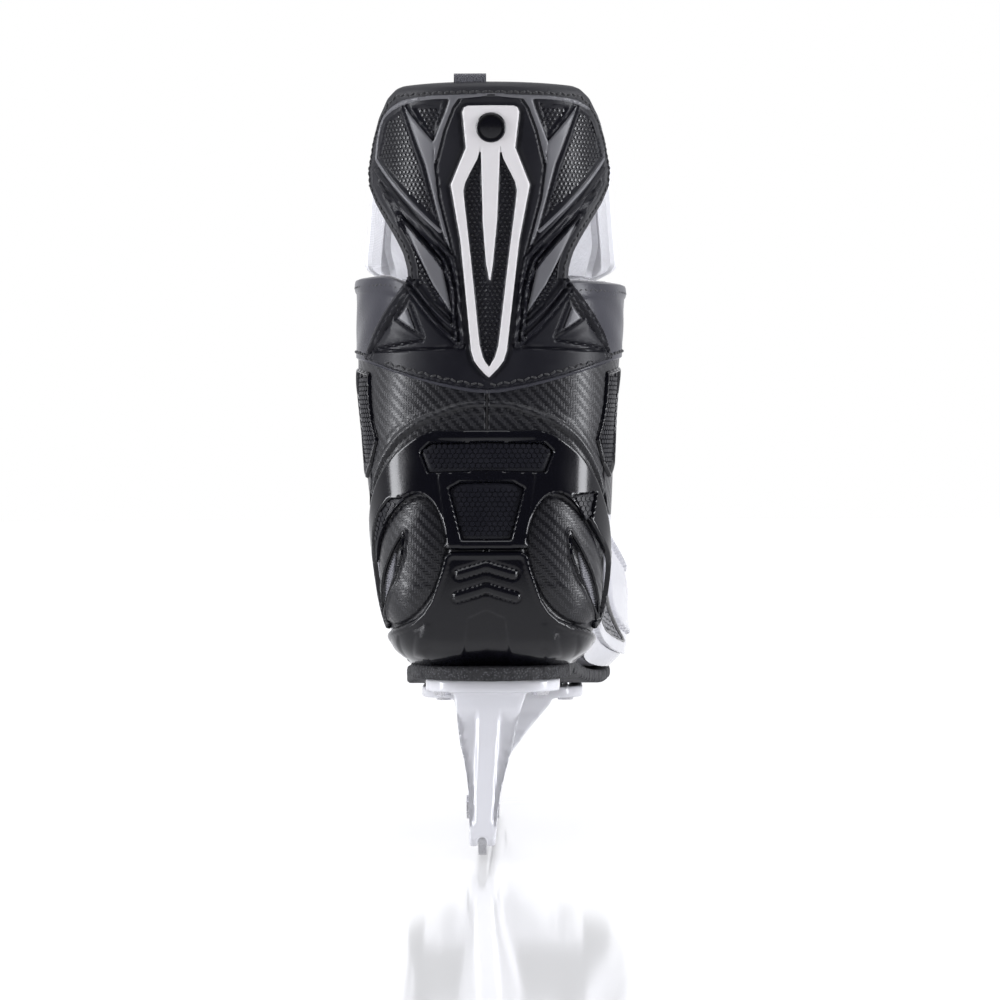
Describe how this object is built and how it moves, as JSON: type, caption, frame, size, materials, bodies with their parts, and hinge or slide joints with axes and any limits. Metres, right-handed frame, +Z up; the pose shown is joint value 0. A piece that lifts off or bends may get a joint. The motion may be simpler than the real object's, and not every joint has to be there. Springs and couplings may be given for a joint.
{
  "type": "ice hockey skate",
  "caption": "Right ice skate: moulded boot with laced throat, tongue and flexing tendon guard, on a white holder with a steel runner.",
  "frame": {"origin": "on the ice, under the middle of the flat part of the runner's edge", "axes": "+Y towards the toe, +Z up, +X to the outside of a right foot"},
  "size_m": [0.1029, 0.2959, 0.2849],
  "materials": {
    "runner_steel": "ground carbon steel",
    "holder_white": "smooth white nylon",
    "hardware_steel": "plain steel",
    "outsole_black": "granular black composite",
    "board_brown": "pressed fibre board",
    "footbed_grey": "knitted cover on foam",
    "toe_black": "gloss moulded toe cap",
    "quarter_white": "white gloss moulded shell",
    "counter_twill": "black twill composite",
    "cage_gloss": "piano-black moulding",
    "collar_synthetic": "satin synthetic leather",
    "guard_black": "soft-touch black moulding",
    "binding_tape": "woven edge tape",
    "inlay_white": "white raised inlay",
    "stud_black": "plain round stud",
    "loop_webbing": "woven webbing",
    "liner_grey": "brushed microfibre",
    "tongue_white": "white synthetic leather",
    "felt_grey": "needled felt",
    "label_black": "moulded rubber patch",
    "eyestay_black": "black synthetic leather",
    "eyelet_steel": "plated eyelets",
    "lace_black": "flat woven lace"
  },
  "bodies": {
    "boot": {"runner": "runner_steel", "holder": "holder_white", "runner_bolts": "hardware_steel", "runner_nuts": "hardware_steel", "rivets_front": "hardware_steel", "rivets_rear": "hardware_steel", "rivet_washers": "hardware_steel", "outsole": "outsole_black", "insole_board": "board_brown", "footbed": "footbed_grey", "toe_cap": "toe_black", "toe_lining": "liner_grey", "vamp_lateral": "quarter_white", "vamp_medial": "quarter_white", "counter_lateral": "counter_twill", "counter_medial": "counter_twill", "heel_cap": "cage_gloss", "heel_cage": "cage_gloss", "cuff_lateral": "collar_synthetic", "cuff_medial": "collar_synthetic", "guard_skirt": "guard_black", "guard_inlay_tip": "inlay_white", "lining_lateral": "liner_grey", "lining_medial": "liner_grey", "ankle_pad_lateral": "liner_grey", "ankle_pad_medial": "liner_grey", "tongue_lower": "tongue_white", "eyestay_lateral": "eyestay_black", "eyestay_medial": "eyestay_black", "eyelets_lateral": "eyelet_steel", "eyelets_medial": "eyelet_steel", "lace": "lace_black"},
    "guard": {"tendon_guard": "guard_black", "guard_padding": "liner_grey", "guard_binding": "binding_tape", "guard_inlay": "inlay_white", "guard_stud": "stud_black", "pull_loop": "loop_webbing"},
    "tongue": {"tongue_upper": "tongue_white", "tongue_felt": "felt_grey", "tongue_label": "label_black"}
  },
  "joints": [
    {"name": "guard_flex", "type": "hinge", "parent": "boot", "child": "guard", "pos_m": [0, -0.1372, 0.21], "axis": [1, 0, 0], "range_deg": [0, 15], "stiffness_Nm_per_rad": 4},
    {"name": "tongue_flop", "type": "hinge", "parent": "boot", "child": "tongue", "pos_m": [0, -0.0385, 0.2104], "axis": [-1, 0, 0], "range_deg": [0, 60], "stiffness_Nm_per_rad": 0.6}
  ]
}
